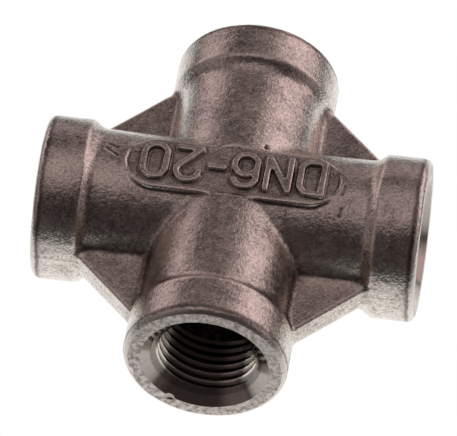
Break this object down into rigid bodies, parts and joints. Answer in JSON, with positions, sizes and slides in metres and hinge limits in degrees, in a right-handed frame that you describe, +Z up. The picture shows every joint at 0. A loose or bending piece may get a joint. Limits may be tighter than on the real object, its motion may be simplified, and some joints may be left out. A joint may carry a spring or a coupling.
{
  "type": "cross fitting",
  "caption": "Cast steel pipe cross with equal female threaded ports, banded ends and flat webs in the corners.",
  "frame": {"origin": "where the axes of the two bores cross, the centre of the fitting", "axes": "+X out of the right port along the marked barrel, +Y out of the back port, +Z up, square to the plane of the four arms, towards the marked side"},
  "size_m": [0.034, 0.034, 0.0146],
  "materials": {
    "cast_stainless": "investment-cast stainless steel, fine sparkling skin; ports and end faces machined bright"
  },
  "bodies": {
    "root": {"hub": "cast_stainless", "socket_right": "cast_stainless", "socket_back": "cast_stainless", "socket_left": "cast_stainless", "socket_front": "cast_stainless", "web_back_right": "cast_stainless", "web_back_left": "cast_stainless", "web_front_left": "cast_stainless", "web_front_right": "cast_stainless", "size_marking": "cast_stainless"}
  },
  "joints": []
}
